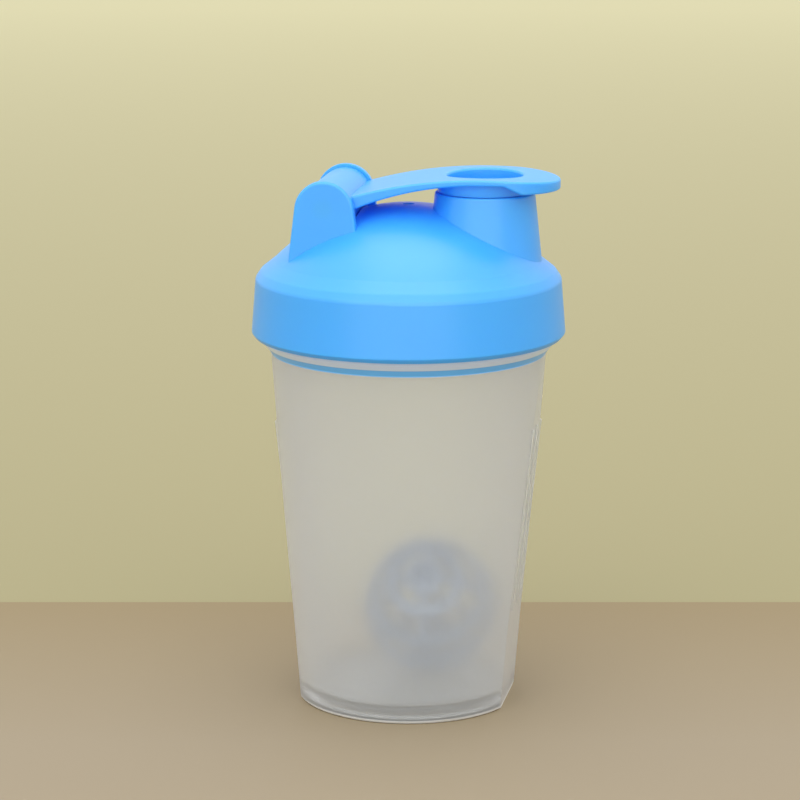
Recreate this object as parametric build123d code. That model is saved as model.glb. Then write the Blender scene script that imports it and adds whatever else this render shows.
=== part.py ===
from build123d import *
import os
from math import cos, radians, sin, sqrt, tan

# Protein shaker bottle with a flip-top screw lid and a loose mixing ball, in millimetres.
# +Z is up, the cup's axis is the Z axis and its foot stands on Z = 0.
# +X runs along the flip lever, from the hinge to the spout.

# Cup
base_r = 34.1             # cone radius at the foot
shoulder_r = 41.75        # cone radius under the collar
shoulder_z = 108.4        # height of the underside of the collar
wall = 1.7
floor_thick = 2.0
push_up = 2.2             # how far the bottom is pushed up inside the foot ring
foot_w = 3.2              # width of the foot ring at the flats
foot_round = 1.2
floor_round = 3.0
flat_turn = -2.0          # degrees from +X to the middle of the first gripping flat
flat_foot_depth = 3.1     # depth of the flats below the cone, at the foot
flat_knee_depth = 2.8     # ... at the knee
flat_top_depth = 0.35     # ... and at their upper end
flat_knee_z = 25.0
flat_top_gap = 9.4        # from the flats' upper end to the collar
flat_runout = 2.5         # height over which a flat fades into the cone
grip_ribs = 3             # fine upright ribs on each flat
grip_pitch = 8.0
grip_w = 1.0
grip_proud = 0.35
grip_sink = 0.4           # depth of a rib's root in the wall
grip_low_gap = 4.0        # from the knee up to the ribs' lower ends
grip_top_gap = 12.0       # from their upper ends to the flats' upper end

# Collar and screw neck
collar_out = 2.95         # how far the collar stands out of the cone
collar_rise = 3.6         # height of the collar's chamfer
collar_rim = 0.8          # height of its upright rim
collar_round = 0.6
neck_wall = 2.1
neck_h = 16.8             # from the collar's top to the rim
rim_round = 0.5
thread_h = 1.6            # radial height of both threads
thread_foot = 1.1         # half width of a thread at its root
thread_tip = 0.5          # half width at its crest
thread_lead = 10.0
thread_starts = 2
thread_turns = 1.0
thread_rise = 3.2         # from the collar's top to the start of the neck's threads
thread_gap = 0.4          # radial clearance from crest to root
flank_gap = 0.25          # axial clearance between the flanks that hold the lid down
thread_sink = 0.3         # depth of a thread's root in its wall

# Lid
lid_gap = 0.3             # height of the gap between collar and skirt
skirt_wall = 3.35         # at the widest, just above the skirt's lower edge
skirt_tuck = 1.0          # how far the lower edge lies inside the widest
skirt_lip = 1.2           # height of that edge
skirt_taper = 1.3         # how much narrower the skirt is at its top
seat_cover = 1.7          # thickness over the gasket's seat
shoulder_in = 1.6         # from the skirt's top in to the sloping shoulder
shoulder_drop = 2.3
shoulder_w = 4.0          # width of the sloping shoulder, out to in
shoulder_rise = 3.15
band_round = 2.4
dome_h = 16.8
shell = 2.0
lip_thick = 1.4           # ring that dips into the neck
lip_h = 6.0
lip_gap = 0.3
vent_r = 1.8

# Gasket
gasket_h = 1.55
gasket_w = 3.35
gasket_gap = 0.02
gasket_side_gap = 0.1

# Spout
spout_x = 23.1
spout_rim_r = 15.0
spout_wall = 1.8
spout_rise = 4.1          # from the dome's top to the rim
spout_draft = 6.1         # degrees
spout_round = 0.6

# Hinge
hinge_x = -22.3
hinge_rise = 0.15         # from the dome's top to the hinge's axis
ear_r = 8.9
ear_t = 2.9
ear_flare = 7.0           # degrees that the ears' edges lean outwards
ear_round = 0.8
hinge_w = 42.3            # over both ears
barrel_step = 0.9         # how far the barrel lies below the ears' edges
barrel_side_gap = 0.15
barrel_round = 0.4
well_gap = 0.5            # room around the barrel in the dome
trunnion_r = 3.0
trunnion_l = 1.8
trunnion_gap = 0.05

# Flip lever
arm_gap = 3.85            # from the spout's rim to the arm's underside
arm_thick = 1.8           # over the spout
arm_side = 1.8            # how far the arm is wider than the spout's rim, each side
arm_end_drop = 1.4
arm_edge_round = 0.6
dish_round = 0.7
tab_thick = 3.0
tab_reach = 7.6           # from the spout's rim to the thumb tab's tip
tab_step = 0.56           # where the underside steps down to the tab, as a share of the way to the tip
root_sink = 0.2           # depth of the arm's root in the barrel
root_top_angle = 30.0     # where the arm's top leaves the barrel, degrees above +X
root_under_angle = 0.0
plug_gap = 0.3            # radial clearance of the plug in the spout
plug_depth = 8.4
plug_wall = 1.6
plug_round = 1.0
flange_gap = 0.2          # between the plug's flange and the rim
flange_step = 0.9         # how far the flange's foot lies inside the rim's edge
flange_lean = 0.8         # how much wider it is at the arm

# Mixing ball
ball_r = 20.7
band_w = 3.4
band_t = 1.6
rib_w = 1.6
rib_t = 1.5
rib_sink = 0.3            # depth of the ribs in the bands
band_angles = (12, 31, 60, 90, 120, 149, 168)
ball_bearing = 63.0       # degrees from +X to the side that the ball lies on
ball_side_gap = 1.4       # from the ball to the cup's wall
ball_rest_gap = 0.05
ball_pole = (0.0, -0.75, 0.66)


def cone_r(z):
    return base_r + (shoulder_r - base_r) * z / shoulder_z


# Worked out from the sizes above
floor_z = push_up + floor_thick
flat_top_z = shoulder_z - flat_top_gap
flat_top_x = cone_r(flat_top_z) - flat_top_depth
knee_x = cone_r(flat_knee_z) - flat_knee_depth
collar_r = shoulder_r + collar_out
collar_top_z = shoulder_z + collar_rise + collar_rim
neck_in_r = shoulder_r - wall
neck_r = neck_in_r + neck_wall
rim_z = collar_top_z + neck_h
neck_thread_z = collar_top_z + thread_rise
skirt_z = collar_top_z + lid_gap
seat_z = rim_z + gasket_h + 2 * gasket_gap
skirt_in_r = neck_r + thread_h + thread_gap
skirt_r = skirt_in_r + skirt_wall
skirt_top_r = skirt_r - skirt_taper
shoulder_edge_r = skirt_top_r - shoulder_in
shoulder_edge_z = seat_z + seat_cover
dome_edge_r = shoulder_edge_r - shoulder_w
dome_edge_z = shoulder_edge_z + shoulder_rise
dome_top_z = dome_edge_z + dome_h
dome_r = (dome_edge_r ** 2 + dome_h ** 2) / (2 * dome_h)
dome_z = dome_top_z - dome_r
lip_r = neck_in_r - lip_gap
gasket_in_r = lip_r + gasket_side_gap
spout_rim_z = dome_top_z + spout_rise
draft = tan(radians(spout_draft))
bore_r = spout_rim_r - spout_wall
stop_r = bore_r - plug_gap
hinge_z = dome_top_z + hinge_rise
barrel_r = ear_r - barrel_step
barrel_l = hinge_w - 2 * ear_t - 2 * barrel_side_gap
arm_under_z = spout_rim_z + arm_gap
arm_top_z = arm_under_z + arm_thick
arm_half_w = spout_rim_r + arm_side
flange_foot_r = spout_rim_r - flange_step
flange_top_r = flange_foot_r + flange_lean
dish_r = stop_r - plug_wall + 0.1
ball_z = floor_z + ball_r + ball_rest_gap


def sphere_z(radius, r):
    return dome_z + sqrt(radius ** 2 - r ** 2)


def section(*edges):
    # A face in the XZ plane from edges or points given as (x or radius, z).
    if not isinstance(edges[0], Edge):
        edges = Polyline(*edges, close=True).edges()
    return Plane.XZ * make_face(edges)


def rounded(face, x, z, radius):
    corner = face.vertices().sort_by_distance((x, 0, z))[0]
    return fillet(corner, radius)


def spun(face, x=0.0):
    return revolve(face, Axis((x, 0, 0), (0, 0, 1)))


def across(face, low_y, high_y):
    # Extrudes a face of the XZ plane from low_y to high_y.
    return Pos(0, high_y, 0) * extrude(face, high_y - low_y)


def rod(radius, low_y, high_y, x, z):
    bar = Rot(90, 0, 0) * Cylinder(radius, high_y - low_y)
    return Pos(x, (low_y + high_y) / 2, z) * bar


def on_both_sides(solid):
    return Rot(0, 0, flat_turn) * solid + Rot(0, 0, flat_turn + 180) * solid


def both_flats(inset):
    # Cutters for the two opposite flats, moved inwards by inset.
    end_z = flat_top_z + flat_runout
    far = 2 * shoulder_r
    face = section(
        (cone_r(0) - flat_foot_depth - inset, -1),
        (cone_r(0) - flat_foot_depth - inset, 0),
        (knee_x - inset, flat_knee_z),
        (flat_top_x - inset, flat_top_z),
        (cone_r(end_z) + 0.1 - inset, end_z),
        (far, end_z),
        (far, -1),
    )
    return on_both_sides(across(face, -shoulder_r, shoulder_r))


def grip(middle_y):
    # One fine rib that follows the slope of a flat.
    slope = (flat_top_x - knee_x) / (flat_top_z - flat_knee_z)
    low_z, high_z = flat_knee_z + grip_low_gap, flat_top_z - grip_top_gap
    low_x, high_x = knee_x + slope * grip_low_gap, flat_top_x - slope * grip_top_gap
    face = section(
        (low_x - grip_sink, low_z),
        (low_x + grip_proud, low_z + grip_w),
        (high_x + grip_proud, high_z - grip_w),
        (high_x - grip_sink, high_z),
    )
    return across(face, middle_y - grip_w / 2, middle_y + grip_w / 2)


def grips():
    first = -grip_pitch * (grip_ribs - 1) / 2
    return [on_both_sides(grip(first + grip_pitch * k)) for k in range(grip_ribs)]


def thread_ridge(root_r, crest_r, start_z, turn):
    # One helical ridge of trapezoid section, from its root towards its crest.
    path = Helix(pitch=thread_lead, height=thread_lead * thread_turns, radius=root_r)
    out = 1 if crest_r > root_r else -1
    height = abs(crest_r - root_r)
    profile = Polyline(
        (-thread_sink * out, -thread_foot),
        (height * out, -thread_tip),
        (height * out, thread_tip),
        (-thread_sink * out, thread_foot),
        close=True,
    )
    start = Plane(origin=path @ 0, x_dir=(1, 0, 0), z_dir=path % 0)
    ridge = sweep(start * make_face(profile), path=path, is_frenet=True)
    return Pos(0, 0, start_z) * Rot(0, 0, turn) * ridge


def threads(root_r, crest_r, start_z):
    step = 360 / thread_starts
    return [thread_ridge(root_r, crest_r, start_z, step * k) for k in range(thread_starts)]


def lid_thread_z():
    # The lid's ridges lie just below the neck's, so that they hold the lid down.
    reach = (thread_foot - thread_tip) * thread_gap / thread_h
    return neck_thread_z - (thread_foot + thread_tip - reach + flank_gap)


def cup():
    outer = section((0, 0), (base_r, 0), (shoulder_r, shoulder_z), (0, shoulder_z))
    body = spun(rounded(outer, base_r, 0, foot_round)) - both_flats(0)
    recess_r = base_r - flat_foot_depth - foot_w
    body -= spun(section((0, -1), (recess_r, -1), (recess_r - push_up / 2, push_up), (0, push_up)))
    collar = section(
        (neck_in_r - wall, shoulder_z - 1),
        (cone_r(shoulder_z - 1) - wall / 2, shoulder_z - 1),
        (shoulder_r, shoulder_z),
        (collar_r, shoulder_z + collar_rise),
        (collar_r, collar_top_z),
        (neck_r, collar_top_z),
        (neck_r, rim_z),
        (neck_in_r - wall, rim_z),
    )
    collar = rounded(collar, collar_r, shoulder_z + collar_rise, collar_round)
    body += spun(rounded(collar, neck_r, rim_z, rim_round))
    hollow = section(
        (0, floor_z),
        (cone_r(floor_z) - wall, floor_z),
        (neck_in_r, shoulder_z),
        (neck_in_r, rim_z + 1),
        (0, rim_z + 1),
    )
    body -= spun(rounded(hollow, cone_r(floor_z) - wall, floor_z, floor_round)) - both_flats(wall)
    for ridge in threads(neck_r, neck_r + thread_h, neck_thread_z) + grips():
        body += ridge
    return body


def lid_outside():
    corner = (dome_edge_r, sphere_z(dome_r, dome_edge_r))
    middle = (dome_edge_r / 2, sphere_z(dome_r, dome_edge_r / 2))
    face = section(
        *Polyline(
            (0, dome_top_z - dome_r / 2),
            (0, skirt_z),
            (skirt_r - skirt_tuck, skirt_z),
            (skirt_r, skirt_z + skirt_lip),
            (skirt_top_r, shoulder_edge_z - shoulder_drop),
            (shoulder_edge_r, shoulder_edge_z),
            corner,
        ).edges(),
        ThreePointArc(corner, middle, (0, dome_top_z)),
        Line((0, dome_top_z), (0, dome_top_z - dome_r / 2)),
    )
    face = rounded(face, skirt_top_r, shoulder_edge_z - shoulder_drop, band_round)
    face = rounded(face, shoulder_edge_r, shoulder_edge_z, band_round)
    face = rounded(face, skirt_r, skirt_z + skirt_lip, skirt_lip / 2)
    return spun(face)


def lid_inside():
    inner_r = dome_r - shell
    lip_in_r = lip_r - lip_thick
    corner = (lip_in_r, sphere_z(inner_r, lip_in_r))
    middle = (lip_in_r / 2, sphere_z(inner_r, lip_in_r / 2))
    top = (0, dome_top_z - shell)
    face = section(
        *Polyline(
            top,
            (0, skirt_z - 1),
            (skirt_in_r, skirt_z - 1),
            (skirt_in_r, seat_z),
            (lip_r, seat_z),
            (lip_r, seat_z - lip_h),
            (lip_in_r, seat_z - lip_h),
            corner,
        ).edges(),
        ThreePointArc(corner, middle, top),
    )
    well = rod(barrel_r + well_gap + shell, -hinge_w / 2, hinge_w / 2, hinge_x, hinge_z)
    return spun(face) - well


def spout_outside():
    foot_z = shoulder_edge_z
    foot_r = spout_rim_r + draft * (spout_rim_z - foot_z)
    face = section(
        (spout_x, foot_z),
        (spout_x + foot_r, foot_z),
        (spout_x + spout_rim_r, spout_rim_z),
        (spout_x, spout_rim_z),
    )
    return spun(rounded(face, spout_x + spout_rim_r, spout_rim_z, spout_round), spout_x)


def spout_bore():
    seat = spout_rim_z - plug_depth - 1
    foot_z = seat_z
    foot_r = bore_r + draft * (seat - foot_z)
    return spun(section(
        (spout_x, foot_z),
        (spout_x + foot_r, foot_z),
        (spout_x + bore_r, seat),
        (spout_x + bore_r, spout_rim_z + 1),
        (spout_x, spout_rim_z + 1),
    ), spout_x)


def ear(side):
    # An upside-down U whose edges lean outwards by ear_flare, standing on the dome.
    lean = radians(ear_flare)
    foot_z = shoulder_edge_z + 1
    touch = (ear_r * cos(lean), hinge_z + ear_r * sin(lean))
    foot = touch[0] + (touch[1] - foot_z) * tan(lean)
    left = (hinge_x - touch[0], touch[1])
    right = (hinge_x + touch[0], touch[1])
    face = section(
        Line((hinge_x - foot, foot_z), left),
        ThreePointArc(left, (hinge_x, hinge_z + ear_r), right),
        Line(right, (hinge_x + foot, foot_z)),
        Line((hinge_x + foot, foot_z), (hinge_x - foot, foot_z)),
    )
    far = hinge_w / 2
    near = far - ear_t
    plate = across(face, near, far)
    rims = [e for e in plate.edges() if e.center().Z > foot_z + 1 and abs(e.center().Y - far) < 0.01]
    plate = fillet(rims, ear_round)
    socket_l = trunnion_l + 2 * barrel_side_gap
    plate -= rod(trunnion_r + trunnion_gap, near - 1, near + socket_l, hinge_x, hinge_z)
    return plate if side > 0 else mirror(plate, Plane.XZ)


def lid():
    body = lid_outside() + spout_outside() + ear(1) + ear(-1)
    body -= lid_inside()
    body -= spout_bore()
    gap_w = hinge_w / 2 - ear_t
    body -= rod(barrel_r + well_gap, -gap_w, gap_w, hinge_x, hinge_z)
    body -= Pos(0, 0, dome_top_z) * Cylinder(vent_r, 4 * shell)
    for ridge in threads(skirt_in_r, skirt_in_r - thread_h, lid_thread_z()):
        body += ridge
    return body


def runs_upright(edge):
    size = edge.bounding_box().size
    return size.Z > 2 * max(size.X, size.Y)


def arm():
    # Side profile of the arm, cut to its plan outline.
    top_angle, under_angle = radians(root_top_angle), radians(root_under_angle)
    root_r = barrel_r - root_sink
    top_root = (hinge_x + root_r * cos(top_angle), hinge_z + root_r * sin(top_angle))
    under_root = (hinge_x + root_r * cos(under_angle), hinge_z + root_r * sin(under_angle))
    tip_reach = spout_rim_r + tab_reach
    tip_x = spout_x + tip_reach
    crown, belly = (spout_x, arm_top_z), (spout_x, arm_under_z)
    tip_top = (tip_x, arm_top_z - arm_end_drop)
    tip_under = (tip_x, tip_top[1] - tab_thick)
    bend = (spout_x + tab_step * tip_reach, tip_under[1])
    side = section(
        TangentArc(crown, top_root, tangent=(-1, 0)),
        TangentArc(crown, tip_top, tangent=(1, 0)),
        Line(tip_top, tip_under),
        Line(tip_under, bend),
        Line(bend, (spout_x + flange_top_r * 0.5, arm_under_z)),
        Line((spout_x + flange_top_r * 0.5, arm_under_z), belly),
        TangentArc(belly, under_root, tangent=(-1, 0)),
        Line(under_root, top_root),
    )
    slab = across(side, -hinge_w, hinge_w)
    shoulder_x = tip_x - arm_half_w
    outline = make_face([
        Line((hinge_x, barrel_l / 2), (shoulder_x, arm_half_w)),
        ThreePointArc((shoulder_x, arm_half_w), (tip_x, 0), (shoulder_x, -arm_half_w)),
        Line((shoulder_x, -arm_half_w), (hinge_x, -barrel_l / 2)),
        Line((hinge_x, -barrel_l / 2), (hinge_x, barrel_l / 2)),
    ])
    blade = slab & Pos(0, 0, hinge_z - barrel_r) * extrude(outline, 4 * barrel_r)
    rims = [e for e in blade.edges() if not runs_upright(e) and e.center().X > under_root[0] - hinge_w]
    rims = [e for e in rims if abs(e.center().Y) > arm_half_w / 2 or e.center().X > shoulder_x]
    return fillet(rims, arm_edge_round)


def plug():
    # The flange that closes on the rim, and the hollow stopper below it.
    foot_z = spout_rim_z - plug_depth
    flange_z = spout_rim_z + flange_gap
    face = section(
        (spout_x, foot_z),
        (spout_x + stop_r, foot_z),
        (spout_x + stop_r, flange_z),
        (spout_x + flange_foot_r, flange_z),
        (spout_x + flange_top_r, arm_under_z + arm_thick / 2),
        (spout_x, arm_under_z + arm_thick / 2),
    )
    return spun(rounded(face, spout_x + stop_r, foot_z, plug_round), spout_x)


def dish():
    floor = spout_rim_z - plug_depth + plug_wall
    foot_r = stop_r - plug_wall
    face = section(
        (spout_x, floor),
        (spout_x + foot_r, floor),
        (spout_x + foot_r, arm_under_z),
        (spout_x + dish_r, arm_top_z + 1),
        (spout_x, arm_top_z + 1),
    )
    return spun(rounded(face, spout_x + foot_r, floor, plug_round), spout_x)


def is_mouth(edge):
    middle = edge.position_at(0.5)
    reach = sqrt((middle.X - spout_x) ** 2 + middle.Y ** 2)
    return middle.Z > arm_top_z - arm_end_drop and abs(reach - dish_r) < 0.3


def flip_lever():
    half = barrel_l / 2
    barrel = rod(barrel_r, -half, half, hinge_x, hinge_z)
    body = arm() + fillet(barrel.edges().filter_by(GeomType.CIRCLE), barrel_round)
    body += plug()
    body -= dish()
    mouth = [e for e in body.edges() if is_mouth(e)]
    body = fillet(mouth, dish_round)
    return body + rod(trunnion_r, -half - trunnion_l, half + trunnion_l, hinge_x, hinge_z)


def lid_gasket():
    ring = Cylinder(gasket_in_r + gasket_w, gasket_h) - Cylinder(gasket_in_r, gasket_h)
    return Pos(0, 0, rim_z + gasket_gap + gasket_h / 2) * ring


def ball_band(polar):
    # A band of the hollow sphere round its pole, at a polar angle in degrees.
    half = band_w / 2 / ball_r

    def at(radius, share):
        angle = radians(polar) + half * share
        return radius * sin(angle), radius * cos(angle)

    inner_r = ball_r - band_t
    return spun(section(
        ThreePointArc(at(ball_r, -1), at(ball_r, 0), at(ball_r, 1)),
        Line(at(ball_r, 1), at(inner_r, 1)),
        ThreePointArc(at(inner_r, 1), at(inner_r, 0), at(inner_r, -1)),
        Line(at(inner_r, -1), at(ball_r, -1)),
    ))


def ball_rib(turn):
    # A hoop through both poles, on the inside of the bands.
    rib_r = ball_r - band_t + rib_sink
    hoop = Cylinder(rib_r, rib_w) - Cylinder(rib_r - rib_t, rib_w)
    return Rot(0, 0, turn) * Rot(90, 0, 0) * hoop


def mixing_ball():
    body = ball_rib(0) + ball_rib(90)
    for polar in band_angles:
        body += ball_band(polar)
    lean = cone_r(ball_z) - wall - ball_r - ball_side_gap
    side = radians(ball_bearing)
    place = (lean * cos(side), lean * sin(side), ball_z)
    return Plane(origin=place, x_dir=(1, 0, 0), z_dir=ball_pole) * body


PIECES = {
    "cup": cup,
    "lid": lid,
    "flip_lever": flip_lever,
    "lid_gasket": lid_gasket,
    "mixing_ball": mixing_ball,
}

os.makedirs("parts", exist_ok=True)
for name, make in PIECES.items():
    shape = make()
    export_step(shape, f"parts/{name}.step")
    print(name, "solids", len(shape.solids()), "volume", round(shape.volume, 1))
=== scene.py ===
import bpy
from math import cos, pi, radians, sin
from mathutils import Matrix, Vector

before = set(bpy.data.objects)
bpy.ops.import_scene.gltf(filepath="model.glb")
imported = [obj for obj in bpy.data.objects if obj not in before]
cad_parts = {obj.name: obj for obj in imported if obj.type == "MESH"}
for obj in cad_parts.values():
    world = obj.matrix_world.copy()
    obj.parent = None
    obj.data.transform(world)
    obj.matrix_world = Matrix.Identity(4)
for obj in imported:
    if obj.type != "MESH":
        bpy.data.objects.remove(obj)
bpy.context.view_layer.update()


# Shader wiring.
class Wire:
    # Wraps a node's output, so that arithmetic on it adds Math nodes to its tree.
    def __init__(self, out):
        self.out = out
        self.tree = out.id_data

    def math(self, operation, *values):
        return addNode(self.tree, "Math", {"operation": operation}, dict(enumerate(values)))

    def __add__(self, other):
        return self.math("ADD", self, other)

    def __sub__(self, other):
        return self.math("SUBTRACT", self, other)

    def __rsub__(self, other):
        return self.math("SUBTRACT", other, self)

    def __mul__(self, other):
        return self.math("MULTIPLY", self, other)

    __radd__ = __add__
    __rmul__ = __mul__


def addNode(tree, kind, settings, values, output=0):
    # The settings come first, then the values or links of the sockets.
    node = tree.nodes.new("ShaderNode" + kind)
    for name, value in settings.items():
        setattr(node, name, value)
    for key, value in values.items():
        if isinstance(value, Wire):
            tree.links.new(value.out, node.inputs[key])
        else:
            node.inputs[key].default_value = value
    return Wire(node.outputs[output])


def newMaterial(name, fixed):
    # A Principled material; fixed holds the values that are the same all over.
    material = bpy.data.materials.new(name)
    material.use_nodes = True
    tree = material.node_tree
    shader = tree.nodes["Principled BSDF"]
    for key, value in fixed.items():
        shader.inputs[key].default_value = value
    place = addNode(tree, "TexCoord", {}, {}, "Object")
    return material, tree, shader, place


def connect(tree, shader, **links):
    for key, wire in links.items():
        tree.links.new(wire.out, shader.inputs[key.replace("_", " ")])


def mixColour(tree, factor, first, second):
    return addNode(tree, "Mix", {"data_type": "RGBA"}, {"Factor": factor, 6: first, 7: second}, 2)


# What all the moulded plastics share.
mouldSurface = {"bend": 1.49, "mottleDetail": 3.0, "grainDetail": 2.0, "noiseRoughness": 0.55}


def noise(tree, place, scale, detail):
    return addNode(tree, "TexNoise", {}, {
        "Vector": place, "Scale": scale, "Detail": detail, "Roughness": mouldSurface["noiseRoughness"],
    })


def mouldGrain(tree, place, look):
    # A normal from fine noise, grainDepth high.
    height = noise(tree, place, look["grainScale"], mouldSurface["grainDetail"])
    return addNode(tree, "Bump", {}, {"Height": height, "Distance": look["grainDepth"], "Strength": 1.0})


# Blue plastic of the lid and the flip lever.
bluePlastic = {
    "base": (0.050, 0.425, 0.99, 1), "deep": (0.045, 0.405, 0.98, 1), "gloss": 0.9,
    "haze": 0.35, "hazeReach": (0.3, 0.7, 1.0), "hazeScale": 0.004,
    "roughness": 0.31, "roughSpread": 0.05, "mottleScale": 60, "grainScale": 2600, "grainDepth": 0.000012,
}


def solidPlastic(name, look):
    # Colour and roughness drift together with a broad mottle: colour = base to deep,
    # roughness = roughness + roughSpread x mottle.
    material, tree, shader, place = newMaterial(name, {
        "IOR": mouldSurface["bend"], "Specular IOR Level": look["gloss"], "Subsurface Weight": look["haze"],
        "Subsurface Radius": look["hazeReach"], "Subsurface Scale": look["hazeScale"],
    })
    mottle = noise(tree, place, look["mottleScale"], mouldSurface["mottleDetail"])
    connect(
        tree, shader,
        Base_Color=mixColour(tree, mottle, look["base"], look["deep"]),
        Roughness=look["roughness"] + look["roughSpread"] * mottle,
        Normal=mouldGrain(tree, place, look),
    )
    return material


# Frosted plastic of the cup; the bands are spans of height above the foot, in metres, where light is painted
# in.
frostedPlastic = {
    "clear": (0.985, 0.99, 0.995, 1), "milk": (0.89, 0.89, 0.84, 1), "milkDeep": (0.865, 0.865, 0.82, 1),
    "milkiness": 0.23, "edgeMilk": 0.38, "edgeBlend": 0.35,
    "bend": 1.27,  # below the solid plastic's, as a wall frosted on one side only blurs less
    "roughness": 0.28, "roughSpread": 0.03, "mottleScale": 45, "grainScale": 1800, "grainDepth": 0.000003,
    # painted refraction: the lid's blue painted in along the chamfer's lower part
    "paintedBlueLine": (0.1081, 0.1103), "paintedBlueLineMilk": 0.75, "paintedLidBlueRefraction": (0.14, 0.52, 1.0, 1),
    # painted light: the collar lighter and bluer where the lid's skirt shades it
    "collar": (0.1104, 0.1130), "collarPaintedLightMilk": 0.5, "collarPaintedLight": (0.74, 0.85, 0.99, 1),
    # painted highlight: a light line along the foot's edge
    "footPaintedHighlight": (-0.001, 0.0011), "footPaintedHighlightMilk": 0.5, "bandFade": 0.0002,
}


def heightBand(tree, height, span, fade):
    # One between the two heights of span and nothing outside them: a smooth step up less a smooth step.
    def riseAt(level):
        return addNode(tree, "MapRange", {"interpolation_type": "SMOOTHSTEP"}, {
            0: height, 1: level - fade, 2: level + fade, 3: 0.0, 4: 1.0,
        })

    return riseAt(span[0]) - riseAt(span[1])


def frostedCupPlastic(name, look):
    # Clear rough plastic mixed with a milky one. The milky share is a constant, plus more where the wall is
    # seen edge on,
    # plus the bands of painted light: the collar, painted lighter and bluer in the skirt's shade, its
    # chamfer, where the lid's blue is painted in as a refraction, and the foot's edge, a painted highlight.
    material, tree, clear, place = newMaterial(name, {
        "IOR": look["bend"], "Transmission Weight": 1.0, "Base Color": look["clear"],
    })
    height = addNode(tree, "SeparateXYZ", {}, {0: place}, "Z")
    paintedBlueLine, collar, footPaintedHighlight = (
        heightBand(tree, height, look[band], look["bandFade"]) for band in ("paintedBlueLine", "collar", "footPaintedHighlight")
    )
    mottle = noise(tree, place, look["mottleScale"], mouldSurface["mottleDetail"])
    frost = look["roughness"] + look["roughSpread"] * mottle
    grain = mouldGrain(tree, place, look)
    connect(tree, clear, Roughness=frost, Normal=grain)
    milkColour = mixColour(tree, mottle, look["milk"], look["milkDeep"])
    # painted light on the collar, then the lid's blue painted in as refraction on the chamfer
    milkColour = mixColour(tree, collar, milkColour, look["collarPaintedLight"])
    milkColour = mixColour(tree, paintedBlueLine, milkColour, look["paintedLidBlueRefraction"])
    milk = addNode(tree, "BsdfPrincipled", {}, {
        "Base Color": milkColour, "Roughness": frost, "Normal": grain, "IOR": mouldSurface["bend"],
    })
    edge = addNode(tree, "LayerWeight", {}, {"Blend": look["edgeBlend"]}, "Facing")
    share = (
        look["milkiness"] + look["edgeMilk"] * edge + look["collarPaintedLightMilk"] * collar
        + look["paintedBlueLineMilk"] * paintedBlueLine + look["footPaintedHighlightMilk"] * footPaintedHighlight
    )
    both = addNode(tree, "MixShader", {}, {0: share, 1: Wire(clear.outputs[0]), 2: milk})
    tree.links.new(both.out, tree.nodes["Material Output"].inputs["Surface"])
    return material


# The ball's plastic and the gasket's silicone are the lid's plastic with these changes.
ballPlastic = dict(bluePlastic, base=(0.25, 0.38, 0.58, 1), deep=(0.22, 0.35, 0.54, 1), haze=0.0)
clearSilicone = dict(
    bluePlastic, base=(0.80, 0.83, 0.84, 1), deep=(0.74, 0.78, 0.80, 1),
    roughness=0.55, grainScale=3500, haze=0.0,
)


def paint(node, material):
    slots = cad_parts[node].data.materials
    slots.clear()
    slots.append(material)


blue = solidPlastic("skyBluePolypropylene", bluePlastic)
paint("lid", blue)
paint("flip_lever", blue)
paint("cup", frostedCupPlastic("frostedPolypropylene", frostedPlastic))
paint("mixing_ball", solidPlastic("ballPolypropylene", ballPlastic))
paint("lid_gasket", solidPlastic("clearSilicone", clearSilicone))
print("materials ready")

# Camera, and the level directions to its right and away from it.
viewpoint = {
    "turn": radians(8.6), "pitch": radians(12.30), "distance": 0.8926, "height": 0.287,
    "side": 0.0026, "lens": 134.85, "sensor": 36.0,
}
right = Vector((cos(viewpoint["turn"]), sin(viewpoint["turn"]), 0))
away = Vector((-sin(viewpoint["turn"]), cos(viewpoint["turn"]), 0))
up = Vector((0, 0, 1))


def addObject(name, data):
    thing = bpy.data.objects.new(name, data)
    bpy.context.scene.collection.objects.link(thing)
    return thing


cameraData = bpy.data.cameras.new("studioCamera")
cameraData.lens, cameraData.sensor_width = viewpoint["lens"], viewpoint["sensor"]
camera = addObject("studioCamera", cameraData)
camera.location = -viewpoint["side"] * right - viewpoint["distance"] * away + viewpoint["height"] * up
camera.rotation_euler = (pi / 2 - viewpoint["pitch"], 0, viewpoint["turn"])
bpy.context.scene.camera = camera

# Table and backdrop: one flat floor in two colours, which meet at edge; each is darker towards edge, as
# painted shade.
ground = {
    "reach": 4.0, "edge": 0.098, "roughness": 0.75,
    "table": {
        "near": (0.360, 0.283, 0.176, 1), "far": (0.318, 0.234, 0.112, 1), "from": -0.05, "over": 0.148,
    },
    "backdrop": {
        "near": (0.375, 0.325, 0.158, 1), "far": (0.72, 0.66, 0.36, 1), "from": 0.098, "over": 2.4,
    },
}


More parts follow.
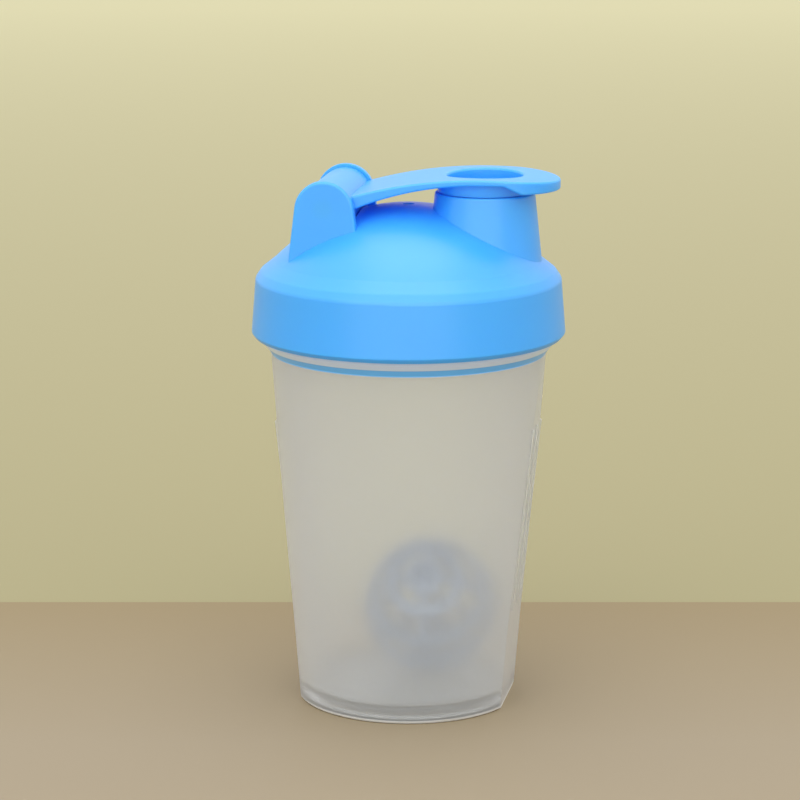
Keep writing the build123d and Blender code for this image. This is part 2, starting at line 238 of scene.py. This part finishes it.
def groundPaintShadedAtEdge(name, tint):
    # The colour runs evenly from near to far with the distance along away, over metres from its start. Both
    # sheets darken towards edge, painted shade where they meet.
    material, tree, shader, place = newMaterial(name, {"Roughness": ground["roughness"]})
    run = addNode(tree, "VectorMath", {"operation": "DOT_PRODUCT"}, {0: place, 1: tuple(away)}, 1)
    part = addNode(tree, "Math", {"operation": "MULTIPLY", "use_clamp": True}, {
        0: run - tint["from"], 1: 1 / tint["over"],
    })
    connect(tree, shader, Base_Color=mixColour(tree, part, tint["near"], tint["far"]))
    return material


def groundSheet(name, near, far):
    # A flat strip square to away, between those two distances along it.
    side = ground["reach"] * right
    corners = [near * away - side, near * away + side, far * away + side, far * away - side]
    mesh = bpy.data.meshes.new(name)
    mesh.from_pydata([tuple(corner) for corner in corners], [], [(0, 1, 2, 3)])
    mesh.materials.append(groundPaintShadedAtEdge(name + "Paint", ground[name]))
    addObject(name, mesh)


groundSheet("table", -ground["reach"], ground["edge"])
groundSheet("backdrop", ground["edge"], ground["reach"])

# Sky: the colour runs from horizon to zenith with the upward part of the direction.
sky = {"horizon": (0.79, 0.80, 0.86, 1), "zenith": (1.12, 1.14, 1.20, 1)}
world = bpy.data.worlds.new("studioAir")
world.use_nodes = True
airTree = world.node_tree
direction = addNode(airTree, "TexCoord", {}, {}, "Generated")
upward = addNode(airTree, "SeparateXYZ", {}, {0: direction}, "Z")
lift = addNode(airTree, "Math", {"operation": "MAXIMUM"}, {0: upward, 1: 0.0})
connect(airTree, airTree.nodes["Background"], Color=mixColour(airTree, lift, sky["horizon"], sky["zenith"]))
bpy.context.scene.world = world

# Soft boxes, aimed at the bottle's lower middle.
softBoxes = {
    "overheadBox": {"side": 0.0, "away": 0.05, "up": 1.4, "size": 0.9, "power": 3.0},
    "frontBox": {"side": -0.1, "away": -1.2, "up": 0.60, "size": 2.2, "power": 14.0},
}
boxColour = (0.88, 0.94, 1.0)
aim = 0.1 * up
for name, box in softBoxes.items():
    light = bpy.data.lights.new(name, "AREA")
    light.shape, light.size, light.energy, light.color = "SQUARE", box["size"], box["power"], boxColour
    lamp = addObject(name, light)
    lamp.location = box["side"] * right + box["away"] * away + box["up"] * up
    lamp.rotation_euler = (aim - lamp.location).to_track_quat("-Z", "Y").to_euler()
bpy.context.scene.view_settings.view_transform = "Standard"
bpy.context.scene.cycles.diffuse_bounces = 10   # light goes back and forth in the milky cup
bpy.context.scene.cycles.max_bounces = 20
print("stage, camera and lights ready")
